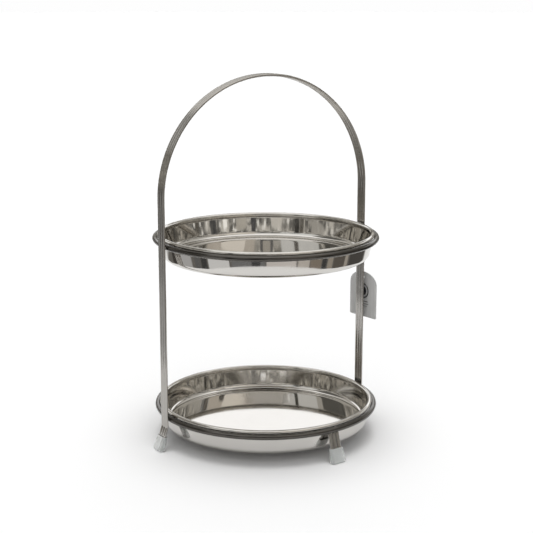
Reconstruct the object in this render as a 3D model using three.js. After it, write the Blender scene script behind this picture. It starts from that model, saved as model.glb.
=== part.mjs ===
// A two-tier serving stand: two round pans sit in two wire rings, and one arch of three
// parallel wires is handle, posts and feet in one. Two short legs stand under the lower ring,
// soft caps cover the feet, and a hang tag on a clear loop hangs at one post.
//
// Millimetres, +Z up. The origin is on the stand's axis, on the surface it stands on.
// +X points to the post with the tag, and the handle's arch lies in the XZ plane.

import * as THREE from 'three';

// Driving dimensions

const GAP = 0.3; // between pieces that touch on the real stand
const TURN_SIDES = 56; // facets round a pan or a ring

const RIM_RADIUS = 125; // the pan's outermost radius
const BEAD_RADIUS = 2.6; // the rolled rim's section
const PAN_DEPTH = 30; // from the bead's top to the underside
const PAN_BASE_RADIUS = 120; // the wall leans in to this radius at the base
const PAN_CORNER = 8; // outer radius where the wall meets the base
const WALL_LEAN = 10.5; // degrees out from upright
const SHEET = 0.8;

const RING_RADIUS = 127; // to the middle of the ring's wire
const RING_WIRE = 3.1; // radius of the ring's round wire
const LOWER_RING_Z = 35.5;
const TIER_SPACING = 198;

const WIRE_WIDTH = 4.7; // the flattened wires of the arch and legs, across the ribbon
const WIRE_THICKNESS = 3.2;
const WIRE_PITCH = WIRE_WIDTH + GAP;
const WIRE_SIDES = 10;
const SPRING_Z = 285.5; // where the posts turn into the half-round arch
const ARCH_STEPS = 30;

const SPLAY = THREE.MathUtils.degToRad(16.5); // every foot leans out by this
const POST_BEND_Z = 27; // height of the bend from post to foot
const BEND_RADIUS = 14;
const BEND_STEPS = 3;
const LEG_TURN = THREE.MathUtils.degToRad(6); // the short legs stand this far off square

const CAP_HEIGHT = 16;
const CAP_SOLE = 4.1; // half the cap's thickness, low down
const CAP_MOUTH = 2.9; // and at its mouth
const CAP_EDGE = 1.9; // radius of the rounded edge round the sole
const CAP_POCKET = 2.0; // half the thickness of the pocket that holds the wires
const CAP_POCKET_FLOOR = 9.5;
const CAP_HALF_STRAIGHT = 5.65; // every section of the cap is a slot shape this much longer
const CAP_SIDES = 24;

const TAG_WIDTH = 46;
const TAG_HEIGHT = 56;
const TAG_CROWN = 15; // height of the half-oval top
const TAG_CORNER = 2;
const TAG_THICKNESS = 0.8;
const TAG_HOLE_RADIUS = 1.75;
const TAG_HOLE_DROP = 6.4; // from the top down to the hole's middle
const TAG_TURN = THREE.MathUtils.degToRad(9);
const TAG_HOLE = new THREE.Vector3(137.3, 0, 170.2);

const LOOP_RADIUS = 0.45;
const LOOP_SIDES = 8;
const LOOP_STEPS = 72;
const LOCK_RADIUS = 1.3;
const LOCK_LENGTH = 5;

// Sizes that follow from them

const BEAD_CENTRE = RIM_RADIUS - BEAD_RADIUS;
const BEAD_ON_RING = Math.sqrt(
  (RING_WIRE + BEAD_RADIUS + GAP) ** 2 - (RING_RADIUS - BEAD_CENTRE) ** 2,
);
const POST_RADIUS = RING_RADIUS + RING_WIRE + GAP + WIRE_THICKNESS / 2;
const POST_SOLE_RADIUS = POST_RADIUS + POST_BEND_Z * Math.tan(SPLAY);
const LEG_TOP_Z = LOWER_RING_Z - RING_WIRE - 2 * GAP;
const LEG_TOP_RADIUS = RING_RADIUS - GAP;
const LEG_SOLE_RADIUS = LEG_TOP_RADIUS + LEG_TOP_Z * Math.tan(SPLAY);
const WIRE_END_Z = CAP_POCKET_FLOOR + GAP + (WIRE_THICKNESS / 2) * Math.sin(SPLAY);

// Materials

const steel = new THREE.MeshStandardMaterial({ color: 0xb4ada0, roughness: 0.12, metalness: 1 });
const mirror = new THREE.MeshStandardMaterial({ color: 0xc6c1b8, roughness: 0.05, metalness: 1 });
const silicone = new THREE.MeshStandardMaterial({ color: 0xd2d4d2, roughness: 0.5, metalness: 0 });
const card = new THREE.MeshStandardMaterial({ color: 0x9a9a98, roughness: 0.7, metalness: 0 });
const clear = new THREE.MeshStandardMaterial({ color: 0xe6e8e8, roughness: 0.2, metalness: 0 });

function piece(name, geometry, material) {
  const mesh = new THREE.Mesh(geometry, material);
  mesh.name = name;
  return mesh;
}

// A profile of radius and height, turned round the Z axis.
function turned(profile, sides = TURN_SIDES, start = 0) {
  return new THREE.LatheGeometry(profile, sides, start).rotateX(Math.PI / 2);
}

// Points along a round stretch of a profile, both ends included.
function arc(x, y, radius, from, to, steps) {
  const points = [];
  for (let i = 0; i <= steps; i += 1) {
    const angle = THREE.MathUtils.degToRad(from + ((to - from) * i) / steps);
    points.push(new THREE.Vector2(x + radius * Math.cos(angle), y + radius * Math.sin(angle)));
  }
  return points;
}

// Pans

// The section of a pan from the middle of its underside, up the outside, over the rolled
// bead, and down the inside to the middle of its floor.
function panProfile() {
  const beadZ = PAN_DEPTH - BEAD_RADIUS;
  const wallFoot = PAN_BASE_RADIUS - PAN_CORNER;
  return [
    new THREE.Vector2(0, 0),
    ...arc(wallFoot, PAN_CORNER, PAN_CORNER, -90, -WALL_LEAN, 4),
    ...arc(BEAD_CENTRE, beadZ, BEAD_RADIUS, -70, 268, 10),
    ...arc(wallFoot, PAN_CORNER, PAN_CORNER - SHEET, -WALL_LEAN, -90, 4),
    new THREE.Vector2(0, SHEET),
  ];
}

function pan(name, ringZ) {
  const mesh = piece(name, turned(panProfile()), mirror);
  mesh.position.z = ringZ + BEAD_ON_RING + BEAD_RADIUS - PAN_DEPTH;
  return mesh;
}

// Rings, arch and legs

function ring(name, z) {
  const section = arc(RING_RADIUS, 0, RING_WIRE, 0, 360, 12);
  const mesh = piece(name, turned(section), steel);
  mesh.position.z = z;
  return mesh;
}

// A path through given stations, which keeps each one as a step of the wire.
class StationPath extends THREE.Curve {
  constructor(stations) {
    super();
    this.stations = stations;
  }

  getPoint(t, target = new THREE.Vector3()) {
    const last = this.stations.length - 2;
    const place = t * (last + 1);
    const index = Math.min(Math.floor(place), last);
    return target.lerpVectors(this.stations[index], this.stations[index + 1], place - index);
  }

  getUtoTmapping(u) {
    return u;
  }
}

function wireGeometry(stations) {
  const section = [];
  for (let i = 0; i < WIRE_SIDES; i += 1) {
    const angle = (2 * Math.PI * i) / WIRE_SIDES;
    section.push(
      new THREE.Vector2(
        (WIRE_WIDTH / 2) * Math.cos(angle),
        (WIRE_THICKNESS / 2) * Math.sin(angle),
      ),
    );
  }
  return new THREE.ExtrudeGeometry(new THREE.Shape(section), {
    steps: stations.length - 1,
    extrudePath: new StationPath(stations),
  });
}

// One post from the end of its foot up to the spring line, at positive X.
function postStations() {
  const footRadius = POST_RADIUS + (POST_BEND_Z - WIRE_END_Z) * Math.tan(SPLAY);
  const bendTop = POST_BEND_Z + BEND_RADIUS * Math.tan(SPLAY / 2);
  const stations = [new THREE.Vector3(footRadius, 0, WIRE_END_Z)];
  for (let i = BEND_STEPS; i >= 0; i -= 1) {
    const angle = (SPLAY * i) / BEND_STEPS;
    stations.push(
      new THREE.Vector3(
        POST_RADIUS + BEND_RADIUS * (1 - Math.cos(angle)),
        0,
        bendTop - BEND_RADIUS * Math.sin(angle),
      ),
    );
  }
  return stations;
}

function archWire(name, row) {
  const right = postStations();
  const left = right.map((station) => new THREE.Vector3(-station.x, 0, station.z)).reverse();
  const arch = arc(0, SPRING_Z, POST_RADIUS, 0, 180, ARCH_STEPS);
  const over = arch.map((point) => new THREE.Vector3(point.x, 0, point.y));
  const mesh = piece(name, wireGeometry([...right, ...over, ...left]), steel);
  mesh.position.y = row * WIRE_PITCH;
  return mesh;
}

function legWire(name, row) {
  const endRadius = LEG_TOP_RADIUS + (LEG_TOP_Z - WIRE_END_Z) * Math.tan(SPLAY);
  const stations = [
    new THREE.Vector3(endRadius, 0, WIRE_END_Z),
    new THREE.Vector3(LEG_TOP_RADIUS, 0, LEG_TOP_Z),
  ];
  const mesh = piece(name, wireGeometry(stations), steel);
  mesh.position.y = row * WIRE_PITCH;
  return mesh;
}

// Foot caps

// The cap's half section: sole, side, mouth, and down into the pocket.
function capProfile() {
  return [
    new THREE.Vector2(0, 0),
    ...arc(CAP_SOLE - CAP_EDGE, CAP_EDGE, CAP_EDGE, -90, 0, 4),
    new THREE.Vector2(CAP_SOLE - 0.1, CAP_HEIGHT * 0.35),
    new THREE.Vector2(CAP_SOLE - 0.5, CAP_HEIGHT * 0.65),
    new THREE.Vector2(CAP_MOUTH, CAP_HEIGHT - GAP),
    new THREE.Vector2(CAP_MOUTH - GAP, CAP_HEIGHT),
    new THREE.Vector2(CAP_POCKET, CAP_HEIGHT),
    new THREE.Vector2(CAP_POCKET, CAP_POCKET_FLOOR),
    new THREE.Vector2(0, CAP_POCKET_FLOOR),
  ];
}

// The turned cap is pulled out into a slot shape along Y and leans in as it rises.
function capGeometry() {
  const profile = capProfile();
  const step = (2 * Math.PI) / CAP_SIDES;
  const geometry = turned(profile, CAP_SIDES, step / 2);
  const points = geometry.getAttribute('position');
  for (let i = 0; i < points.count; i += 1) {
    const angle = step / 2 + step * Math.floor(i / profile.length);
    const side = -Math.sign(Math.cos(angle));
    points.setX(i, points.getX(i) - points.getZ(i) * Math.tan(SPLAY));
    points.setY(i, points.getY(i) + side * CAP_HALF_STRAIGHT);
  }
  return geometry;
}

function footCap(name, soleRadius) {
  const mesh = piece(name, capGeometry(), silicone);
  mesh.position.x = soleRadius;
  return mesh;
}

// A short leg under the lower ring: three wires and their cap.
function shortLeg(side, angle) {
  const leg = new THREE.Group();
  leg.rotation.z = angle;
  leg.add(legWire(`${side}_leg_wire_1`, -1));
  leg.add(legWire(`${side}_leg_wire_2`, 0));
  leg.add(legWire(`${side}_leg_wire_3`, 1));
  leg.add(footCap(`foot_cap_${side}_leg`, LEG_SOLE_RADIUS));
  return leg;
}

// Hang tag and its loop

function tagOutline() {
  const half = TAG_WIDTH / 2;
  const bottom = TAG_HOLE_DROP - TAG_HEIGHT;
  const shoulder = TAG_HOLE_DROP - TAG_CROWN;
  const crown = arc(0, 0, 1, 0, 180, 18).map(
    (point) => new THREE.Vector2(half * point.x, shoulder + TAG_CROWN * point.y),
  );
  const outline = new THREE.Shape([
    ...arc(-half + TAG_CORNER, bottom + TAG_CORNER, TAG_CORNER, 180, 270, 3),
    ...arc(half - TAG_CORNER, bottom + TAG_CORNER, TAG_CORNER, 270, 360, 3),
    ...crown,
  ]);
  outline.holes.push(new THREE.Path(arc(0, 0, TAG_HOLE_RADIUS, 337.5, 0, 15)));
  return outline;
}

function hangTag() {
  const geometry = new THREE.ExtrudeGeometry(tagOutline(), {
    depth: TAG_THICKNESS,
    bevelEnabled: false,
  });
  geometry.translate(0, 0, -TAG_THICKNESS / 2).rotateX(Math.PI / 2).rotateZ(Math.PI / 2);
  const mesh = piece('hang_tag', geometry, card);
  mesh.rotation.z = TAG_TURN;
  mesh.position.copy(TAG_HOLE);
  return mesh;
}

// The filament's route: from the lock down through the tag's hole, up the front side of the
// post, round its inner face above the upper ring, and down the rear side to the lock.
const LOOP_ROUTE = [
  [136.62, 5.12, 196.0],
  [137.7, 3.4, 187],
  [138.7, 1.9, 179],
  [139.2, 0.9, 174.3],
  [138.8, 0.3, 172.0],
  [137.3, 0, 171.05],
  [135.8, -0.3, 172.0],
  [135.4, -0.9, 174.3],
  [135.4, -2.3, 181],
  [135.2, -4.8, 193],
  [135.0, -7.2, 205],
  [134.6, -8.4, 213.5],
  [133.2, -8.6, 220],
  [131.3, -8.5, 229.5],
  [130.2, -7.9, 235.2],
  [129.3, -5.7, 237.3],
  [129.1, 0, 237.5],
  [129.3, 5.7, 237.3],
  [130.2, 7.9, 235.2],
  [131.3, 8.5, 229.5],
  [133.2, 8.6, 220],
  [134.6, 8.4, 213.5],
  [135.2, 7.3, 207.5],
  [135.92, 6.25, 202.1],
];

function routeCurve() {
  return new THREE.CatmullRomCurve3(LOOP_ROUTE.map((point) => new THREE.Vector3(...point)));
}

function tagLoop() {
  const section = arc(0, 0, LOOP_RADIUS, 0, 315, LOOP_SIDES - 1);
  const geometry = new THREE.ExtrudeGeometry(new THREE.Shape(section), {
    steps: LOOP_STEPS,
    extrudePath: routeCurve(),
  });
  return piece('tag_loop', geometry, clear);
}

// The small barrel that both ends of the filament go into.
function loopLock() {
  const curve = routeCurve();
  const bottom = curve.getPoint(0);
  const top = curve.getPoint(1);
  const along = new THREE.Vector3().subVectors(top, bottom).normalize();
  const geometry = new THREE.CylinderGeometry(LOCK_RADIUS, LOCK_RADIUS, LOCK_LENGTH, 12);
  const mesh = piece('loop_lock', geometry, clear);
  mesh.quaternion.setFromUnitVectors(new THREE.Vector3(0, 1, 0), along);
  mesh.position.addVectors(bottom, top).multiplyScalar(0.5);
  return mesh;
}

// The stand

const UPPER_RING_Z = LOWER_RING_Z + TIER_SPACING;
const stand = new THREE.Group();

stand.add(archWire('arch_wire_front', -1));
stand.add(archWire('arch_wire_middle', 0));
stand.add(archWire('arch_wire_rear', 1));
stand.add(ring('lower_ring', LOWER_RING_Z));
stand.add(ring('upper_ring', UPPER_RING_Z));

stand.add(footCap('foot_cap_right_post', POST_SOLE_RADIUS));
const leftFoot = new THREE.Group();
leftFoot.rotation.z = Math.PI;
leftFoot.add(footCap('foot_cap_left_post', POST_SOLE_RADIUS));
stand.add(leftFoot);
stand.add(shortLeg('front', -Math.PI / 2 + LEG_TURN));
stand.add(shortLeg('rear', Math.PI / 2 + LEG_TURN));

stand.add(pan('lower_pan', LOWER_RING_Z));
stand.add(pan('upper_pan', UPPER_RING_Z));

stand.add(tagLoop());
stand.add(loopLock());
stand.add(hangTag());

export default stand;
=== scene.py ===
"""Looks of a two-tier serving stand: two mirror pans in a stand of polished wires."""

import math

import bpy
from mathutils import Matrix, Vector, noise


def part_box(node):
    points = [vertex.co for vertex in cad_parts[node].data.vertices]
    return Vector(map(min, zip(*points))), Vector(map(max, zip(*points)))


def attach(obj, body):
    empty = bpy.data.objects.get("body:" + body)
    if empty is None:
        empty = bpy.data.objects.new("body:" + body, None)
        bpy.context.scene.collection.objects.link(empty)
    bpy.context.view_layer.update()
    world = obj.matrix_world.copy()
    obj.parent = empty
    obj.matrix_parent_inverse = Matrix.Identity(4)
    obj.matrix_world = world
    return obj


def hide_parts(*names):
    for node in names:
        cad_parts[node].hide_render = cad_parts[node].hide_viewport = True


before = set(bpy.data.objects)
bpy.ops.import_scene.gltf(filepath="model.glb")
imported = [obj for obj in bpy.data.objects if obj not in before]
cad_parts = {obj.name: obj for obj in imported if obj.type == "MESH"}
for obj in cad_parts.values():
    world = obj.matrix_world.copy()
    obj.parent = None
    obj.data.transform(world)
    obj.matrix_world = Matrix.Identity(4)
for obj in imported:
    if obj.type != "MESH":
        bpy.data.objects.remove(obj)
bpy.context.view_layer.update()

MM = 0.001
TAU = 2 * math.pi
UP = Vector((0, 0, 1))
ALONG_X = Vector((1, 0, 0))
ALONG_Y = Vector((0, 1, 0))

# The camera stands in front of the stand, to its left, and looks slightly down.
CAMERA_TURN = math.radians(30.08)
CAMERA_DIP = math.radians(12.37)
CAMERA_BACK = 1.4219
CAMERA_SIDE = 0.00086
CAMERA_HEIGHT = 0.5095
CAMERA_LENS = 85
TO_RIGHT = Vector((math.cos(CAMERA_TURN), -math.sin(CAMERA_TURN), 0))
TO_CAMERA = Vector((-math.sin(CAMERA_TURN), -math.cos(CAMERA_TURN), 0))

# The stand's sizes, in metres
RING_LOW, RING_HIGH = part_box("upper_ring")
RING_WIRE = (RING_HIGH.z - RING_LOW.z) / 2
RING_RADIUS = RING_HIGH.x - RING_WIRE
UPPER_RING_Z = (RING_HIGH.z + RING_LOW.z) / 2
LOWER_RING_Z = sum(corner.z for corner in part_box("lower_ring")) / 2

WIRE_WIDTH = 4.7 * MM
WIRE_THICKNESS = 3.2 * MM
WIRE_PITCH = 5 * MM
WIRE_END_Z = 10.25 * MM  # the wires end inside the caps
WIRE_DOME = WIRE_THICKNESS * 0.35  # how far a wire's rounded end stands out
WIRE_SIDES = 28
TURN_SIDES = 288  # facets round a pan or a ring
SPLAY = math.radians(16.5)
POST_RADIUS = RING_RADIUS + RING_WIRE + 0.3 * MM + WIRE_THICKNESS / 2
ARCH_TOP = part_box("arch_wire_middle")[1].z
SPRING_Z = ARCH_TOP - WIRE_THICKNESS / 2 - POST_RADIUS
POST_BEND_Z = 27 * MM
BEND_RADIUS = 14 * MM
LEG_TURN = math.radians(6)  # the short legs stand this far off square
LEG_TURNS = {"front": -math.pi / 2 + LEG_TURN, "rear": math.pi / 2 + LEG_TURN}
POST_TURNS = {"right": 0.0, "left": math.pi}
LEG_TOP_Z = LOWER_RING_Z - RING_WIRE - 0.1 * MM
LEG_LINE_Z = LOWER_RING_Z - RING_WIRE - 0.6 * MM  # a CAD leg's top: places its cap
LEG_TOP_RADIUS = RING_RADIUS - 0.3 * MM

BEAD_RADIUS = 2.6 * MM
RIM_RADIUS = 125 * MM
PAN_DEPTH = 30 * MM
SHEET = 0.8 * MM
CORNER_RADIUS = 7.6 * MM  # to the middle of the sheet, where the floor meets the wall
CORNER_CENTRE = (112 * MM, 8 * MM)
WALL_LEAN = math.radians(11.5)
WALL_BOW = 0.1  # the share of its lean that the wall loses on the way up
WALL_STEPS = 16

CAP_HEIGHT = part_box("foot_cap_right_post")[1].z
CAP_SOLE = 4.1 * MM  # half thicknesses: low down, at the mouth, and of the pocket
CAP_MOUTH = 2.9 * MM
CAP_POCKET = 2.0 * MM
CAP_EDGE = 1.9 * MM
CAP_LIP_DROP = 0.3 * MM
CAP_POCKET_FLOOR = 9.5 * MM
CAP_HALF_STRAIGHT = 5.65 * MM
CAP_SIDES = 48

TAG_HOLE = Vector((137.3, 0, 170.2)) * MM
TAG_TURN = math.radians(9)
TAG_HALF_WIDTH = 23 * MM
TAG_TOP = 6.4 * MM  # heights on the tag are from the middle of its hole
TAG_BOTTOM = -49.6 * MM
TAG_CROWN = 15 * MM
TAG_CORNER = 2 * MM
TAG_EDGE = 0.14 * MM
TAG_HALF_THICKNESS = 0.36 * MM
TAG_HOLE_RADIUS = 1.75 * MM

PRINT_SIDE = -1  # the face that is turned to the post
PRINT_SUNK, PRINT_PROUD = 0.02 * MM, 0.03 * MM
EMBLEM_Z = -17.5 * MM
EMBLEM_RING = (9.5 * MM, 7.6 * MM)
EMBLEM_DISC = 5.6 * MM
# In millimetres: half the length and the thickness of each bar, the first bar's height
# and the distance to the next
BARS = ((8.5, 1.1), (9.5, 0.8), (7.0, 0.6))
BAR_Z = -30.4
BAR_SPACING = 2.9

LOCK_HALF, LOCK_RADIUS, LOCK_EDGE = 2.5 * MM, 1.3 * MM, 0.35 * MM

# Deep and bright tones of the wires' steel, and the tone of its drawn lines
POST_TONES = ((0.47, 0.455, 0.43), (0.56, 0.54, 0.51), (0.32, 0.305, 0.285))
# The ring's tones: the same polished steel painted darker, as painted shade for the dark
# reflections the ring shows
RING_PAINTED_SHADE_TONES = ((0.115, 0.109, 0.10), (0.16, 0.152, 0.14), (0.08, 0.075, 0.068))

# The filament's route: from the lock down through the tag's hole, up beside the post, round
# its inner face above the upper ring, and down the other side to the lock.
LOOP_ROUTE = [
    (136.62, 5.12, 196.0),
    (137.7, 3.4, 187.0),
    (138.7, 1.9, 179.0),
    (139.2, 0.9, 174.3),
    (138.8, 0.3, 172.0),
    (137.3, 0.0, 171.05),
    (135.8, -0.3, 172.0),
    (135.4, -0.9, 174.3),
    (135.4, -2.3, 181.0),
    (135.2, -4.8, 193.0),
    (135.0, -7.2, 205.0),
    (134.6, -8.4, 213.5),
    (133.2, -8.6, 220.0),
    (131.3, -8.5, 229.5),
    (130.2, -7.9, 235.2),
    (129.3, -5.7, 237.3),
    (129.1, 0.0, 237.5),
    (129.3, 5.7, 237.3),
    (130.2, 7.9, 235.2),
    (131.3, 8.5, 229.5),
    (133.2, 8.6, 220.0),
    (134.6, 8.4, 213.5),
    (135.2, 7.3, 207.5),
    (135.92, 6.25, 202.1),
]
LOOP_DIAMETER = 0.9 * MM

# Floor and light
FLOOR_RADIUS, FLOOR_Z, FLOOR_ALBEDO = 30, -0.0004, 0.92
TABLE_RADIUS, TABLE_Z, TABLE_ALBEDO = 0.46, -0.0002, 0.86
FLOOR_SIDES = 96
CAMERA_WHITE = 0.99  # the background that the camera sees
# The soft light on everything that isn't polished: from all round, from a long overhead
# strip that runs towards the camera, and from a spot straight above.
ALL_ROUND = 0.29
STRIP = 0.75
SPOT = 4.15
STRIP_SIDES = (0.7, 0.25)  # how far aside the strip starts to fade in and is full
STRIP_UP = (0.0, 0.3)
SPOT_UP = (0.9, 1.0)

# The room that only mirror-like reflections show. Angles are in degrees: turns round the
# horizon from the camera's side, right positive, and rises above the horizon.
BELOW_HORIZON, EYE_LEVEL = (0.16, 0.152, 0.14), (0.46, 0.44, 0.40)
UPPER_WALL, CEILING = (0.55, 0.535, 0.50), (1.15, 1.14, 1.12)
SIDE_GROUND = (0.72, 0.72, 0.72)
BACKDROP = (1.30, 1.30, 1.31)
FAR_GROUND = (0.98, 0.98, 0.98)
SHELF_DARK, SHELF_LIGHT = (0.09, 0.086, 0.078), (0.66, 0.63, 0.57)
GAP_DARK, GLINT = (0.04, 0.04, 0.038), (1.1, 1.08, 1.02)
SHELF_CELL, SMALL_CELL = (6.0, 2.2), (2.4, 1.0)  # degrees wide and high
SHELF_SHARE = 0.85
PATCH_POWER = 6.0  # how square the patches are
PATCH_EDGE = (1.25, 0.8)
PATCH_SHARE = 0.9
# Its soft patches: the turn and rise of each, half its width and height, and its colour.
ROOM = [
    # below the horizon, beyond the table
    (-119, -36, 8, 17.5, (0.05, 0.045, 0.04)),
    (-101, -36, 9, 17.5, (0.50, 0.50, 0.50)),
    (-83, -36, 4, 17.5, (0.13, 0.13, 0.13)),
    (-74, -36, 4, 17.5, (0.05, 0.05, 0.05)),
    (-55, -28, 13, 26, (0.78, 0.78, 0.78)),
    (-20, -28, 19, 26, (0.19, 0.19, 0.192)),
    (-11, -28, 5, 25, (0.05, 0.05, 0.05)),
    (18, -28, 17, 26, (0.70, 0.66, 0.63)),
    (44, -28, 7, 26, (0.58, 0.54, 0.49)),
    (59, -28, 7, 26, (0.26, 0.22, 0.18)),
    (70, -28, 3, 26, (0.05, 0.05, 0.05)),
    (78, -28, 3.5, 26, (0.36, 0.32, 0.27)),
    (91, -28, 8, 26, (0.12, 0.105, 0.09)),
    (102, -28, 2.5, 26, (0.42, 0.38, 0.33)),
    (122, -28, 15, 26, (0.07, 0.065, 0.06)),
    # at eye level
    (-36, 8, 2.5, 30, (0.03, 0.028, 0.025)),
    (-62, 9, 8, 2.4, (0.44, 0.42, 0.38)),
    (-12, 9, 6, 2.6, (0.70, 0.67, 0.61)),
    (14, 6, 2.5, 8, (0.04, 0.04, 0.045)),
    (28, 9, 6, 2, (0.52, 0.49, 0.43)),
    (47, 8, 2.5, 1.4, (1.2, 1.18, 1.12)),
    (3, 4, 3, 1.2, (1.3, 1.3, 1.28)),
    (-20, 3, 4, 1.0, (1.1, 1.08, 1.02)),
    (62, 6, 4, 6, (0.06, 0.06, 0.06)),
    (104, 6, 10, 8, (0.24, 0.225, 0.20)),
    # higher up
    (-44, 42, 25, 16, (0.84, 0.85, 0.84)),
    (-1, 37, 8, 7, (0.13, 0.13, 0.135)),
    (-1, 33, 4.5, 2.5, (0.55, 0.52, 0.47)),
    (46, 42, 32, 16, (0.68, 0.63, 0.56)),
    (42, 36, 16, 6, (1.05, 1.0, 0.92)),
    (-4, 44, 16, 5.5, (0.045, 0.045, 0.05)),
    (-4, 43, 3, 1.5, (0.9, 0.9, 0.9)),
    (60, 43, 4, 6, (0.08, 0.075, 0.07)),
    (-30, 43, 1.5, 5, (1.4, 1.4, 1.4)),
    (-95, 40, 18, 16, (0.10, 0.098, 0.09)),
]


# Camera


def make_camera():
    data = bpy.data.cameras.new("camera")
    data.lens = CAMERA_LENS
    data.clip_start = 0.01
    camera = bpy.data.objects.new("camera", data)
    bpy.context.scene.collection.objects.link(camera)
    camera.location = (
        CAMERA_SIDE * TO_RIGHT + CAMERA_BACK * TO_CAMERA + CAMERA_HEIGHT * UP
    )
    camera.rotation_euler = (math.pi / 2 - CAMERA_DIP, 0, -CAMERA_TURN)
    bpy.context.scene.camera = camera
    bpy.context.scene.view_settings.view_transform = "Standard"


# Nodes


class Nodes:
    """A few short ways to write a node tree."""

    def __init__(self, tree):
        self.tree = tree
        tree.nodes.clear()

    def add(self, kind, inputs=None, **settings):
        node = self.tree.nodes.new(kind)
        for key, value in settings.items():
            setattr(node, key, value)
        for key, value in (inputs or {}).items():
            self.put(node.inputs[key], value)
        return node

    def put(self, socket, value):
        if isinstance(value, bpy.types.NodeSocket):
            self.tree.links.new(value, socket)
        else:
            socket.default_value = value

    def math(self, operation, *values, clamp=False):
        node = self.add("ShaderNodeMath", operation=operation, use_clamp=clamp)
        for socket, value in zip(node.inputs, values):
            self.put(socket, value)
        return node.outputs[0]

    def dot(self, a, b):
        node = self.add("ShaderNodeVectorMath", operation="DOT_PRODUCT")
        self.put(node.inputs[0], a)
        self.put(node.inputs[1], b)
        return node.outputs["Value"]

    def between(self, value, low, high, out_low=0.0, out_high=1.0, smooth=True):
        node = self.add(
            "ShaderNodeMapRange",
            interpolation_type="SMOOTHSTEP" if smooth else "LINEAR",
        )
        for key, number in zip((0, 1, 2, 3, 4), (value, low, high, out_low, out_high)):
            self.put(node.inputs[key], number)
        return node.outputs[0]

    def mix(self, factor, a, b, blend="MIX"):
        node = self.add("ShaderNodeMix", data_type="RGBA", blend_type=blend)
        for key, value in ((0, factor), (6, a), (7, b)):
            if isinstance(value, tuple) and len(value) == 3:
                value = (*value, 1)
            self.put(node.inputs[key], value)
        return node.outputs[2]

    def xyz(self, x, y, z=0.0):
        node = self.add("ShaderNodeCombineXYZ")
        for socket, value in zip(node.inputs, (x, y, z)):
            self.put(socket, value)
        return node.outputs[0]

    def noise(self, vector, scale, detail=2.0, roughness=0.5):
        return self.add(
            "ShaderNodeTexNoise",
            {
                "Vector": vector,
                "Scale": scale,
                "Detail": detail,
                "Roughness": roughness,
            },
        ).outputs["Fac"]

    def bump(self, height, strength, distance, normal=None):
        node = self.add(
            "ShaderNodeBump",
            {"Height": height, "Strength": strength, "Distance": distance},
        )
        if normal is not None:
            self.put(node.inputs["Normal"], normal)
        return node.outputs[0]

    def local(self):
        return self.add("ShaderNodeTexCoord").outputs["Object"]

    def lay(self):
        """Round and along a wire, in metres."""
        return self.add("ShaderNodeAttribute", attribute_name="lay").outputs["Vector"]

    def scaled(self, vector, x, y, z):
        node = self.add("ShaderNodeVectorMath", operation="MULTIPLY")
        self.put(node.inputs[0], vector)
        node.inputs[1].default_value = (x, y, z)
        return node.outputs[0]


def new_material(name):
    material = bpy.data.materials.new(name)
    material.use_nodes = True
    n = Nodes(material.node_tree)
    shader = n.add("ShaderNodeBsdfPrincipled")
    output = n.add("ShaderNodeOutputMaterial")
    n.tree.links.new(shader.outputs[0], output.inputs[0])
    return material, n, shader


# Materials


def wire_steel(name, deep, bright, line):
    """Drawn and polished stainless wire: long fine lines, faint clouds in the polish."""
    material, n, shader = new_material(name)
    lay = n.lay()
    lines = n.noise(n.scaled(lay, 9000, 60, 1), 1.0, 3.0)
    clouds = n.noise(n.local(), 90, 3.0)
    colour = n.mix(clouds, deep, bright)
    n.put(shader.inputs["Base Color"], n.mix(n.between(lines, 0.3, 0.7), colour, line))
    shader.inputs["Metallic"].default_value = 1.0
    n.put(shader.inputs["Roughness"], n.between(clouds, 0.25, 0.75, 0.07, 0.15))
    n.put(shader.inputs["Normal"], n.bump(lines, 0.15, 0.00003))
    return material


def pan_steel():
    """Mirror sheet: faint rings from spinning and polishing, and a slight ripple."""
    material, n, shader = new_material("pan_steel")
    local = n.local()
    parts = n.add("ShaderNodeSeparateXYZ", {0: local})
    radius = n.math(
        "SQRT",
        n.math(
            "ADD",
            n.math("POWER", parts.outputs[0], 2.0),
            n.math("POWER", parts.outputs[1], 2.0),
        ),
    )
    rings = n.noise(n.xyz(radius, n.math("MULTIPLY", parts.outputs[2], 0.8)), 2600, 3.0)
    clouds = n.noise(local, 28, 3.0)
    ripple = n.noise(local, 38, 1.0)
    scratches = n.noise(n.scaled(local, 1400, 90, 400), 1.0, 2.0)
    colour = n.mix(clouds, (0.64, 0.622, 0.59), (0.70, 0.68, 0.65))
    n.put(
        shader.inputs["Base Color"],
        n.mix(n.between(rings, 0.55, 0.8, 0.0, 0.5), colour, (0.60, 0.58, 0.55)),
    )
    shader.inputs["Metallic"].default_value = 1.0
    haze = n.between(clouds, 0.3, 0.75, 0.035, 0.075)
    n.put(
        shader.inputs["Roughness"],
        n.math("ADD", haze, n.between(scratches, 0.62, 0.8, 0.0, 0.05)),
    )
    rippled = n.bump(ripple, 0.35, 0.00012)
    n.put(shader.inputs["Normal"], n.bump(rings, 0.05, 0.00002, rippled))
    return material


def milky_silicone():
    """Soft translucent cap: cloudy inside, with a dull moulded skin."""
    material, n, shader = new_material("milky_silicone")
    local = n.local()
    clouds = n.noise(local, 420, 4.0)
    grain = n.noise(local, 5200, 2.0)
    n.put(
        shader.inputs["Base Color"],
        n.mix(clouds, (0.63, 0.65, 0.64), (0.74, 0.76, 0.745)),
    )
    n.put(shader.inputs["Roughness"], n.between(clouds, 0.3, 0.7, 0.36, 0.5))
    shader.inputs["Transmission Weight"].default_value = 0.5
    shader.inputs["IOR"].default_value = 1.41
    n.put(shader.inputs["Normal"], n.bump(grain, 0.15, 0.00006))
    return material


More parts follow.
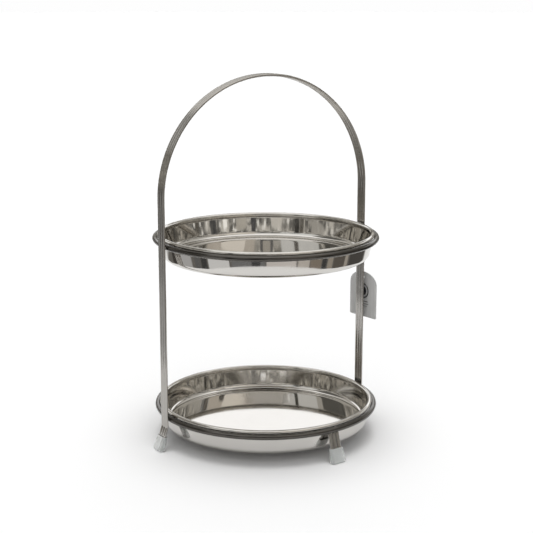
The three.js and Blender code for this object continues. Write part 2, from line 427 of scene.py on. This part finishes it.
def tag_board():
    """Grey uncoated board with short fibres and a faint vertical grain."""
    material, n, shader = new_material("tag_board")
    local = n.local()
    fibres = n.noise(n.scaled(local, 2600, 2600, 900), 1.0, 4.0, 0.65)
    grain = n.noise(n.scaled(local, 420, 420, 14), 1.0, 2.0)
    blotches = n.noise(local, 60, 3.0)
    colour = n.mix(n.between(grain, 0.3, 0.7), (0.60, 0.60, 0.595), (0.68, 0.68, 0.675))
    colour = n.mix(n.between(blotches, 0.35, 0.7, 0.0, 0.5), colour, (0.62, 0.618, 0.61))
    n.put(
        shader.inputs["Base Color"],
        n.mix(n.between(fibres, 0.45, 0.75, 0.0, 0.35), colour, (0.74, 0.74, 0.73)),
    )
    n.put(shader.inputs["Roughness"], n.between(fibres, 0.3, 0.7, 0.62, 0.8))
    n.put(shader.inputs["Normal"], n.bump(fibres, 0.3, 0.00005))
    return material


def tag_ink():
    """Black ink, slightly uneven where the board shows through."""
    material, n, shader = new_material("tag_ink")
    local = n.local()
    specks = n.noise(local, 2400, 3.0)
    n.put(
        shader.inputs["Base Color"],
        n.mix(n.between(specks, 0.45, 0.8), (0.008, 0.008, 0.011), (0.03, 0.03, 0.034)),
    )
    n.put(shader.inputs["Roughness"], n.between(specks, 0.3, 0.7, 0.4, 0.6))
    n.put(shader.inputs["Normal"], n.bump(specks, 0.2, 0.00003))
    return material


def clear_plastic():
    """Clear filament and its lock: nearly colourless, and faintly cloudy."""
    material, n, shader = new_material("clear_plastic")
    local = n.local()
    haze = n.noise(local, 900, 3.0)
    n.put(
        shader.inputs["Base Color"],
        n.mix(haze, (0.90, 0.91, 0.92), (0.97, 0.98, 0.98)),
    )
    n.put(shader.inputs["Roughness"], n.between(haze, 0.3, 0.7, 0.08, 0.22))
    shader.inputs["Transmission Weight"].default_value = 0.92
    shader.inputs["IOR"].default_value = 1.48
    n.put(shader.inputs["Normal"], n.bump(haze, 0.15, 0.00004))
    return material


# Mesh building


def mesh_piece(name, points, faces, material, body, nodes=(), lay=None):
    mesh = bpy.data.meshes.new(name)
    mesh.from_pydata([tuple(p) for p in points], [], faces)
    mesh.polygons.foreach_set("use_smooth", [True] * len(mesh.polygons))
    if lay is not None:
        layer = mesh.attributes.new("lay", "FLOAT_VECTOR", "POINT")
        layer.data.foreach_set("vector", [c for v in lay for c in v])
    mesh.materials.append(material)
    mesh.update()
    piece = bpy.data.objects.new(name, mesh)
    bpy.context.scene.collection.objects.link(piece)
    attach(piece, body)
    if nodes:
        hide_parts(*nodes)
    return piece


def skin(rings, closed=False, first=0):
    """Faces over a row of closed rings. A ring of one point is a pole, and an open row of
    rings that doesn't start or end in a pole gets a flat face there."""
    starts, count = [], first
    for ring in rings:
        starts.append(count)
        count += len(ring)
    faces = []
    pairs = list(zip(range(len(rings) - 1), range(1, len(rings))))
    if closed:
        pairs.append((len(rings) - 1, 0))
    for a, b in pairs:
        size_a, size_b = len(rings[a]), len(rings[b])
        for i in range(max(size_a, size_b)):
            j = (i + 1) % max(size_a, size_b)
            if size_a == 1:
                faces.append((starts[a], starts[b] + i, starts[b] + j))
            elif size_b == 1:
                faces.append((starts[a] + j, starts[a] + i, starts[b]))
            else:
                faces.append(
                    (starts[a] + j, starts[a] + i, starts[b] + i, starts[b] + j)
                )
    if not closed and len(rings[0]) > 1:
        faces.append(tuple(starts[0] + i for i in range(len(rings[0]))))
    if not closed and len(rings[-1]) > 1:
        faces.append(tuple(reversed([starts[-1] + i for i in range(len(rings[-1]))])))
    return faces


def arc(cx, cy, radius, start, end, steps):
    """Points on an arc, from start to end degrees, both ends included."""
    angles = [math.radians(start + (end - start) * i / steps) for i in range(steps + 1)]
    return [(cx + radius * math.cos(a), cy + radius * math.sin(a)) for a in angles]


def circle(cx, cy, radius, sides):
    return arc(cx, cy, radius, 0, 360, sides)[:-1]


def turned_rings(profile, sides, z=0.0):
    """Rings of points, from a profile of radius and height turned round the Z axis."""
    rings = []
    for radius, height in profile:
        if radius < 1e-7:
            rings.append([Vector((0, 0, z + height))])
            continue
        rings.append(
            [
                Vector(
                    (
                        radius * math.cos(TAU * i / sides),
                        radius * math.sin(TAU * i / sides),
                        z + height,
                    )
                )
                for i in range(sides)
            ]
        )
    return rings


def oval(half_width, half_height, sides, power=1.9):
    """A flattened round section: a superellipse."""
    points = []
    for i in range(sides):
        c, s = math.cos(TAU * i / sides), math.sin(TAU * i / sides)
        points.append(
            (
                half_width * math.copysign(abs(c) ** (2 / power), c),
                half_height * math.copysign(abs(s) ** (2 / power), s),
            )
        )
    return points


def swept(path, side, section, dome):
    """Rings of a section along a flat path, with rounded ends, and the way they lie."""
    rings, lay, travelled = [], [], 0.0

    def ring(centre, tangent, scale, along):
        normal = side.cross(tangent).normalized()
        rings.append([centre + scale * (x * side + y * normal) for x, y in section])
        lay.extend((x + 3 * y, along, 0.0) for x, y in section)

    def end(centre, outward, steps=5):
        rows = []
        for k in range(1, steps):
            angle = math.pi / 2 * k / steps
            rows.append((centre + outward * dome * math.sin(angle), math.cos(angle)))
        return rows

    tangents = []
    for i in range(len(path)):
        before, after = path[max(i - 1, 0)], path[min(i + 1, len(path) - 1)]
        tangents.append((after - before).normalized())
    inner_first = path[0] + tangents[0] * dome
    inner_last = path[-1] - tangents[-1] * dome
    rings.append([path[0]])
    lay.append((0.0, 0.0, 0.0))
    for centre, scale in reversed(end(inner_first, -tangents[0])):
        ring(centre, tangents[0], scale, 0.0)
    stations = [inner_first, *path[1:-1], inner_last]
    for i, centre in enumerate(stations):
        if i:
            travelled += (centre - stations[i - 1]).length
        ring(centre, tangents[i], 1.0, travelled)
    for centre, scale in end(inner_last, tangents[-1]):
        ring(centre, tangents[-1], scale, travelled)
    rings.append([path[-1]])
    lay.append((0.0, travelled, 0.0))
    return rings, lay


# Wires


def wire_piece(name, rings, lay, material, turn=0.0, closed=False):
    spin = Matrix.Rotation(turn, 3, "Z")
    points = [spin @ p for ring in rings for p in ring]
    faces = skin(rings, closed)
    body, slot = "frame", "polished_wire"
    mesh_piece(name + "_steel", points, faces, material, body, [name], lay)


def post_path(bend_steps=12, steps=12):
    """One post in the XZ plane, from the end of its foot up to the spring line."""
    foot = POST_RADIUS + (POST_BEND_Z - WIRE_END_Z) * math.tan(SPLAY)
    bend_top = POST_BEND_Z + BEND_RADIUS * math.tan(SPLAY / 2)
    path = [Vector((foot, 0, WIRE_END_Z))]
    for i in range(bend_steps + 1):
        angle = SPLAY * (bend_steps - i) / bend_steps
        path.append(
            Vector(
                (
                    POST_RADIUS + BEND_RADIUS * (1 - math.cos(angle)),
                    0,
                    bend_top - BEND_RADIUS * math.sin(angle),
                )
            )
        )
    for i in range(1, steps):
        z = bend_top + (SPRING_Z - bend_top) * i / steps
        path.append(Vector((POST_RADIUS, 0, z)))
    return path


def arch_wire(name, row, material):
    right = post_path()
    over = [Vector((x, 0, z)) for x, z in arc(0, SPRING_Z, POST_RADIUS, 0, 180, 120)]
    left = [Vector((-p.x, 0, p.z)) for p in reversed(right)]
    path = [p + row * WIRE_PITCH * ALONG_Y for p in right + over + left]
    section = oval(WIRE_WIDTH / 2, WIRE_THICKNESS / 2, WIRE_SIDES)
    rings, lay = swept(path, ALONG_Y, section, WIRE_DOME)
    wire_piece(name, rings, lay, material)


def leg_wire(name, row, turn, material, steps=8):
    end = LEG_TOP_RADIUS + (LEG_TOP_Z - WIRE_END_Z) * math.tan(SPLAY)
    path = []
    for i in range(steps + 1):
        t = i / steps
        path.append(
            Vector(
                (
                    end + (LEG_TOP_RADIUS - end) * t,
                    row * WIRE_PITCH,
                    WIRE_END_Z + (LEG_TOP_Z - WIRE_END_Z) * t,
                )
            )
        )
    section = oval(WIRE_WIDTH / 2, WIRE_THICKNESS / 2, WIRE_SIDES)
    rings, lay = swept(path, ALONG_Y, section, WIRE_DOME)
    wire_piece(name, rings, lay, material, turn)


def ring_wire(name, z, material):
    section = circle(0, 0, RING_WIRE, WIRE_SIDES)
    rings, lay = [], []
    for i in range(TURN_SIDES):
        angle = TAU * i / TURN_SIDES
        out = Vector((math.cos(angle), math.sin(angle), 0))
        rings.append([(RING_RADIUS + x) * out + (z + y) * UP for x, y in section])
        lay.extend((2 * x + 3 * y, RING_RADIUS * angle, 0.0) for x, y in section)
    wire_piece(name, rings, lay, material, closed=True)


def weld(name, places, axis, length, turn, material, sides=20, steps=8):
    """Spot welds: small waisted nuggets with an uneven edge between two wires."""
    points, faces, lay = [], [], []
    axis = axis.normalized()
    across = axis.orthogonal().normalized()
    third = axis.cross(across)
    spin = Matrix.Rotation(turn, 3, "Z")
    for centre in places:
        rings = [[centre - axis * length * 0.52]]
        for k in range(steps + 1):
            t = k / steps * 2 - 1
            radius = (0.85 + 0.55 * t * t) * MM
            ring = []
            for i in range(sides):
                angle = TAU * i / sides
                way = math.cos(angle) * across + math.sin(angle) * third
                wobble = 1 + 0.14 * noise.noise(centre * 900 + way * 1.4 + axis * t)
                ring.append(centre + axis * length / 2 * t + way * radius * wobble)
            rings.append(ring)
        rings.append([centre + axis * length * 0.52])
        faces += skin(rings, first=len(points))
        for ring in rings:
            points += [spin @ p for p in ring]
            lay += [(p.y, p.z, 0.0) for p in ring]
    mesh_piece(name, points, faces, material, "frame", (), lay)


def make_stand(steel, ring_steel_painted_shade):
    rows = (-1, 0, 1)
    for name, row in zip(("front", "middle", "rear"), rows):
        arch_wire(f"arch_wire_{name}", row, steel)
    # the rings take the steel painted darker: painted shade for their dark reflections
    ring_wire("upper_ring", UPPER_RING_Z, ring_steel_painted_shade)
    ring_wire("lower_ring", LOWER_RING_Z, ring_steel_painted_shade)
    for side, turn in LEG_TURNS.items():
        for number, row in enumerate(rows, 1):
            leg_wire(f"{side}_leg_wire_{number}", row, turn, steel)
        top = LOWER_RING_Z - RING_WIRE
        places = [
            Vector((LEG_TOP_RADIUS + 0.1 * MM, row * WIRE_PITCH, top)) for row in rows
        ]
        weld(f"weld_{side}_leg", places, UP, 0.8 * MM, turn, steel)
    for level, z in (("upper", UPPER_RING_Z), ("lower", LOWER_RING_Z)):
        for side, turn in POST_TURNS.items():
            face = RING_RADIUS + RING_WIRE + 0.1 * MM
            places = [
                Vector((face - 0.1 * MM * abs(row), row * WIRE_PITCH, z))
                for row in rows
            ]
            weld(f"weld_{level}_{side}", places, ALONG_X, 0.9 * MM, turn, steel)


# Pans


def pan_profile():
    """The section of the sheet: floor, corner, slightly curved wall and rolled rim."""
    half = SHEET / 2
    bead_r, bead_z = RIM_RADIUS - BEAD_RADIUS, PAN_DEPTH - BEAD_RADIUS
    curl = BEAD_RADIUS - half
    middle = [(radius * MM, half) for radius in (0.0, 30, 70, 100, 108)]
    middle += arc(*CORNER_CENTRE, CORNER_RADIUS, -90, -math.degrees(WALL_LEAN), 18)
    foot_r, foot_z = middle[-1]
    top_z = bead_z - curl
    for i in range(1, WALL_STEPS):
        rise = (top_z - foot_z) * i / WALL_STEPS
        share = 1.0 - WALL_BOW * i / WALL_STEPS
        middle.append((foot_r + rise * math.tan(WALL_LEAN) * share, foot_z + rise))
    # the bead: up its inner side, over the top, and nearly closed underneath
    middle += arc(bead_r, bead_z, curl, -88, -395, 36)
    outer, inner = [], []
    for i, (r, z) in enumerate(middle):
        before, after = middle[max(i - 1, 0)], middle[min(i + 1, len(middle) - 1)]
        way = Vector((after[0] - before[0], after[1] - before[1])).normalized()
        outer.append((r + way.y * half, z - way.x * half))
        inner.append((max(r - way.y * half, 0.0), z + way.x * half))
    outer[0], inner[0] = (0.0, 0.0), (0.0, SHEET)
    r, z = middle[-1]
    way = Vector((r - middle[-2][0], z - middle[-2][1])).normalized()
    tip = (r + way.x * half * 0.7, z + way.y * half * 0.7)
    return outer + [tip] + list(reversed(inner))


def make_pan(name, material):
    rings = turned_rings(pan_profile(), TURN_SIDES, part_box(name)[0].z)
    points = [p for ring in rings for p in ring]
    faces = skin(rings)
    mesh_piece(name + "_sheet", points, faces, material, name, [name])


# Foot caps


def cap_profile():
    """Half the cap's thickness against height: sole, side, mouth and pocket."""
    side = arc(CAP_SOLE - CAP_EDGE, CAP_EDGE, CAP_EDGE, -90, 0, 8)
    knots = [
        (CAP_SOLE, CAP_EDGE),
        (CAP_SOLE - 0.1 * MM, CAP_HEIGHT * 0.35),
        (CAP_SOLE - 0.5 * MM, CAP_HEIGHT * 0.65),
        (CAP_MOUTH, CAP_HEIGHT - CAP_LIP_DROP),
    ]
    # a smooth curve through the knots
    for i in range(3):
        a, b = knots[i], knots[i + 1]
        before = knots[i - 1] if i else (a[0], a[1] - (b[1] - a[1]))
        after = knots[i + 2] if i < 2 else (2 * b[0] - a[0], 2 * b[1] - a[1])
        for k in range(1, 7):
            t = k / 6
            side.append(
                tuple(
                    0.5
                    * (
                        2 * a[c]
                        + (b[c] - before[c]) * t
                        + (2 * before[c] - 5 * a[c] + 4 * b[c] - after[c]) * t**2
                        + (3 * a[c] - before[c] - 3 * b[c] + after[c]) * t**3
                    )
                    for c in (0, 1)
                )
            )
    lip = (CAP_MOUTH - CAP_POCKET) / 2
    side += arc(CAP_POCKET + lip, CAP_HEIGHT - CAP_LIP_DROP, lip * 0.96, 15, 180, 8)
    side = [(r, min(z, CAP_HEIGHT)) for r, z in side]
    side += [(CAP_POCKET, CAP_POCKET_FLOOR + 0.4 * MM), (1.6 * MM, CAP_POCKET_FLOOR)]
    return [(0.0, 0.0)] + side + [(0.0, CAP_POCKET_FLOOR)]


def foot_cap(name, sole_radius, turn, material):
    rings = []
    for half, z in cap_profile():
        ring = []
        for i in range(CAP_SIDES):
            angle = TAU * (i + 0.5) / CAP_SIDES
            x, y = half * math.cos(angle), half * math.sin(angle)
            y += math.copysign(CAP_HALF_STRAIGHT, math.sin(angle))
            ring.append(Vector((x - z * math.tan(SPLAY), y, z)))
        rings.append(ring)
    spin = Matrix.Rotation(turn, 3, "Z")
    out = Vector((sole_radius, 0, 0))
    points = [spin @ (p + out) for ring in rings for p in ring]
    faces = skin(rings)
    mesh_piece(name + "_soft", points, faces, material, "frame", [name])


def make_caps(material):
    post_sole = POST_RADIUS + POST_BEND_Z * math.tan(SPLAY)
    leg_sole = LEG_TOP_RADIUS + LEG_LINE_Z * math.tan(SPLAY)
    for side, turn in POST_TURNS.items():
        foot_cap(f"foot_cap_{side}_post", post_sole, turn, material)
    for side, turn in LEG_TURNS.items():
        foot_cap(f"foot_cap_{side}_leg", leg_sole, turn, material)


# Hang tag, its loop and lock


def tag_place(x, h, z):
    """From the tag's own plane to the stand's frame. h is across its thickness."""
    turn = Matrix.Rotation(TAG_TURN, 3, "Z")
    return TAG_HOLE + turn @ Vector((h, x, z))


def tag_outline(steps=6):
    """The tag's edge, anticlockwise from its lower right corner."""
    w, c = TAG_HALF_WIDTH, TAG_CORNER
    low, high = TAG_BOTTOM + c, TAG_TOP - TAG_CROWN
    points = arc(w - c, low, c, -90, 0, 10)
    points += [(w, low + (high - low) * i / steps) for i in range(1, steps)]
    for x, y in arc(0, 0, 1, 0, 180, 60):
        points.append((w * x, high + TAG_CROWN * y))
    points += [(-w, high + (low - high) * i / steps) for i in range(1, steps)]
    points += arc(-w + c, low, c, 180, 270, 10)
    points += [(-w + c + 2 * (w - c) * i / 12, TAG_BOTTOM) for i in range(1, 12)]
    return points


def make_tag(board):
    """The board as one ring-shaped skin round its hole, with eased edges."""
    edge, t = TAG_EDGE, TAG_HALF_THICKNESS
    easing = arc(edge, t - edge, edge, 180, 90, 3)
    easing_back = arc(edge, t - edge, edge, 90, 180, 3)
    shares = (0.1, 0.3, 0.5, 0.7, 0.9)
    outline = tag_outline()
    rings = []

    def ring(inset_hole, inset_rim, share, h):
        points = []
        for x, z in outline:
            reach = math.hypot(x, z)
            ux, uz = x / reach, z / reach
            inner = TAG_HOLE_RADIUS + inset_hole
            outer = reach - inset_rim
            r = inner + (outer - inner) * share
            points.append(tag_place(ux * r, h, uz * r))
        return points

    rings += [ring(a, 0, 0, h) for a, h in easing]
    rings += [ring(edge, edge, share, t) for share in shares]
    rings += [ring(0, a, 1, h) for a, h in easing_back]
    rings += [ring(0, a, 1, -h) for a, h in easing]
    rings += [ring(edge, edge, share, -t) for share in reversed(shares)]
    rings += [ring(a, 0, 0, -h) for a, h in easing_back]
    points = [p for ring in rings for p in ring]
    return mesh_piece(
        "hang_tag_board",
        points,
        skin(rings, closed=True),
        board,
        "hang_tag",
        ["hang_tag"],
    )


def make_print(ink):
    """A plain round emblem over three bars, on the face turned to the post."""
    points, faces = [], []
    low = PRINT_SIDE * (TAG_HALF_THICKNESS - PRINT_SUNK)
    high = PRINT_SIDE * (TAG_HALF_THICKNESS + PRINT_PROUD)

    def level(outline, h):
        return [tag_place(x, h, z) for x, z in outline]

    def slab(outer, inner=None):
        rings = [level(outer, low), level(outer, high)]
        if inner is None:
            middle = [
                (
                    sum(x for x, _ in outer) / len(outer),
                    sum(z for _, z in outer) / len(outer),
                )
            ]
            rings = [level(middle, low), *rings, level(middle, high)]
        else:
            rings += [level(inner, high), level(inner, low)]
        faces.extend(skin(rings, closed=inner is not None, first=len(points)))
        for ring in rings:
            points.extend(ring)

    slab(*(circle(0, EMBLEM_Z, radius, 72) for radius in EMBLEM_RING))
    slab(circle(0, EMBLEM_Z, EMBLEM_DISC, 60))
    for row, (half, thick) in enumerate(BARS):
        z = (BAR_Z - BAR_SPACING * row) * MM
        h, w = thick / 2 * MM, half * MM
        slab(arc(w - h, z, h, -90, 90, 8) + arc(-w + h, z, h, 90, 270, 8))
    return mesh_piece("hang_tag_print", points, faces, ink, "hang_tag")


def make_loop(material):
    data = bpy.data.curves.new("tag_loop_filament", "CURVE")
    data.dimensions = "3D"
    data.bevel_depth = LOOP_DIAMETER / 2
    data.bevel_resolution = 4
    data.resolution_u = 8
    data.use_fill_caps = True
    spline = data.splines.new("BEZIER")
    spline.bezier_points.add(len(LOOP_ROUTE) - 1)
    for knot, place in zip(spline.bezier_points, LOOP_ROUTE):
        knot.co = Vector(place) * MM
        knot.handle_left_type = knot.handle_right_type = "AUTO"
    data.materials.append(material)
    loop = bpy.data.objects.new("tag_loop_filament", data)
    bpy.context.scene.collection.objects.link(loop)
    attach(loop, "tag_loop")
    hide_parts("tag_loop")
    return loop


def make_lock(material):
    """A small barrel with rounded ends and a waist, where both ends of the loop meet."""
    bottom, top = Vector(LOOP_ROUTE[0]) * MM, Vector(LOOP_ROUTE[-1]) * MM
    along = (top - bottom).normalized()
    half, radius, edge = LOCK_HALF, LOCK_RADIUS, LOCK_EDGE
    profile = [(0.0, -half)]
    profile += arc(radius - edge, -half + edge, edge, -90, 0, 5)
    profile += [(radius, -0.9 * MM), (radius - 0.05 * MM, -0.7 * MM)]
    profile += [(radius - 0.18 * MM, -0.45 * MM), (radius - 0.22 * MM, 0.0)]
    profile += [(radius - 0.18 * MM, 0.45 * MM), (radius - 0.05 * MM, 0.7 * MM)]
    profile += [(radius, 0.9 * MM)]
    profile += arc(radius - edge, half - edge, edge, 0, 90, 5)
    profile += [(0.0, half)]
    rings = turned_rings(profile, 32)
    place = UP.rotation_difference(along).to_matrix()
    centre = (bottom + top) / 2
    points = [centre + place @ p for ring in rings for p in ring]
    return mesh_piece(
        "loop_lock_barrel",
        points,
        skin(rings),
        material,
        "tag_loop",
        ["loop_lock"],
    )


# Floor and light


def floor_disc(name, radius, z, albedo):
    sides = FLOOR_SIDES
    points = [(0, 0, z)]
    points += [
        (radius * math.cos(TAU * i / sides), radius * math.sin(TAU * i / sides), z)
        for i in range(sides)
    ]
    faces = [(0, 1 + i, 1 + (i + 1) % sides) for i in range(sides)]
    mesh = bpy.data.meshes.new(name)
    mesh.from_pydata(points, [], faces)
    material, n, shader = new_material(name)
    speckle = n.noise(n.local(), 3.0, 2.0)
    n.put(
        shader.inputs["Base Color"],
        n.mix(speckle, (albedo - 0.004,) * 3, (albedo + 0.004,) * 3),
    )
    shader.inputs["Roughness"].default_value = 1.0
    shader.inputs["Specular IOR Level"].default_value = 0.0
    mesh.materials.append(material)
    disc = bpy.data.objects.new(name, mesh)
    bpy.context.scene.collection.objects.link(disc)
    return disc


def make_floor():
    """A wide floor, and the table top that mirror-like reflections show instead."""
    wide = floor_disc("floor", FLOOR_RADIUS, FLOOR_Z, FLOOR_ALBEDO)
    wide.visible_glossy = False
    near = floor_disc("floor_near", TABLE_RADIUS, TABLE_Z, TABLE_ALBEDO)
    near.visible_camera = False
    near.visible_diffuse = False
    near.visible_shadow = False
    near.visible_transmission = False


def both(n, a, b):
    return n.math("MULTIPLY", a, b)


def room_cells(n, turn, rise, size):
    """A colour for each of many blocks, size degrees wide and high."""
    place = n.xyz(n.math("DIVIDE", turn, size[0]), n.math("DIVIDE", rise, size[1]))
    cells = n.add(
        "ShaderNodeTexVoronoi",
        {"Vector": place, "Scale": 1.0},
        distance="CHEBYCHEV",
        feature="F1",
    )
    return cells.outputs["Color"]


def room_reach(n, angle, centre, half):
    """Less than 1 inside a patch, along one of its two ways, and more than 1 outside."""
    offset = n.math("ABSOLUTE", n.math("SUBTRACT", angle, centre))
    return n.math("POWER", n.math("DIVIDE", offset, half), PATCH_POWER)


def room_colour(n):
    """The room round the stand, as a colour for each direction."""
    way = n.add("ShaderNodeTexCoord").outputs["Generated"]
    right = n.dot(way, tuple(TO_RIGHT))
    front = n.dot(way, tuple(TO_CAMERA))
    up = n.dot(way, tuple(UP))
    turn = n.math("MULTIPLY", n.math("ARCTAN2", right, front), 180 / math.pi)
    rise = n.math("MULTIPLY", n.math("ARCSINE", up), 180 / math.pi)
    colour = n.mix(n.between(rise, -3.0, 2.0), BELOW_HORIZON, EYE_LEVEL)
    colour = n.mix(n.between(rise, 22.0, 40.0), colour, UPPER_WALL)
    colour = n.mix(n.between(rise, 42.0, 60.0), colour, CEILING)
    # pale ground beyond the table, on the left
    ground = both(n, n.between(rise, -11.5, -14.5), n.between(rise, -19.5, -18.0))
    left = n.between(turn, -60.0, -80.0)
    colour = n.mix(both(n, ground, left), colour, SIDE_GROUND)
    # shelves and small things at eye level
    shelves = room_cells(n, turn, rise, SHELF_CELL)
    small = room_cells(n, turn, rise, SMALL_CELL)
    band = both(n, n.between(rise, -2.0, 0.5), n.between(rise, 34.0, 30.0))
    grey = n.add("ShaderNodeSeparateColor", {0: shelves}).outputs[0]
    fine = n.add("ShaderNodeSeparateColor", {0: small}).outputs[1]
    busy = n.mix(n.between(grey, 0.2, 0.8), SHELF_DARK, SHELF_LIGHT)
    busy = n.mix(n.between(fine, 0.55, 0.9, 0.0, 0.8), busy, GAP_DARK)
    busy = n.mix(n.between(fine, 0.12, 0.02), busy, GLINT)
    colour = n.mix(both(n, band, SHELF_SHARE), colour, busy)
    for patch_turn, patch_rise, half_turn, half_rise, tint in ROOM:
        across = room_reach(n, turn, patch_turn, half_turn)
        over = room_reach(n, rise, patch_rise, half_rise)
        far = n.math("ADD", across, over)
        colour = n.mix(n.between(far, *PATCH_EDGE, 0.0, PATCH_SHARE), colour, tint)
    # the white backdrop behind the stand
    aside = n.math("ABSOLUTE", turn)
    behind = n.between(aside, 118.0, 126.0)
    high = both(n, n.between(rise, 13.0, 15.0), n.between(rise, 23.5, 22.5))
    colour = n.mix(both(n, behind, high), colour, BACKDROP)
    # and the pale ground it stands on
    far_behind = n.between(aside, 138.0, 143.0)
    low = n.between(rise, -8.0, -11.0)
    return n.mix(both(n, far_behind, low), colour, FAR_GROUND)


def soft_light(n):
    """How strong the light on matte things is, for each direction."""
    way = n.add("ShaderNodeTexCoord").outputs["Generated"]
    aside = n.math("ABSOLUTE", n.dot(way, tuple(TO_RIGHT)))
    up = n.dot(way, tuple(UP))
    strip = both(n, n.between(aside, *STRIP_SIDES), n.between(up, *STRIP_UP))
    spot = n.between(up, *SPOT_UP)
    light = n.math("ADD", n.math("MULTIPLY", strip, STRIP), ALL_ROUND)
    return n.math("ADD", n.math("MULTIPLY", spot, SPOT), light)


def make_light():
    """White to the camera, the room to mirror-like reflections, soft light to the rest."""
    world = bpy.data.worlds.new("studio")
    bpy.context.scene.world = world
    world.use_nodes = True
    n = Nodes(world.node_tree)
    path = n.add("ShaderNodeLightPath")
    diffuse = n.add("ShaderNodeBackground", {0: (1, 1, 1, 1), 1: soft_light(n)})
    seen = n.add("ShaderNodeBackground", {0: (1, 1, 1, 1), 1: CAMERA_WHITE})
    room = n.add("ShaderNodeBackground", {0: room_colour(n), 1: 1.0})
    others = n.add(
        "ShaderNodeMixShader",
        {0: path.outputs["Is Glossy Ray"], 1: diffuse.outputs[0], 2: room.outputs[0]},
    )
    world_light = n.add(
        "ShaderNodeMixShader",
        {0: path.outputs["Is Camera Ray"], 1: others.outputs[0], 2: seen.outputs[0]},
    )
    n.add("ShaderNodeOutputWorld", {0: world_light.outputs[0]})


make_camera()
PLASTIC = clear_plastic()
loop = make_loop(PLASTIC)
lock = make_lock(PLASTIC)
tag = make_tag(tag_board())
tag_mark = make_print(tag_ink())
# the rings' steel is the wires' steel painted darker: painted shade
make_stand(wire_steel("wire_steel", *POST_TONES), wire_steel("ring_steel_painted_shade", *RING_PAINTED_SHADE_TONES))
PAN_STEEL = pan_steel()
make_pan("upper_pan", PAN_STEEL)
make_pan("lower_pan", PAN_STEEL)
make_caps(milky_silicone())
make_floor()
make_light()
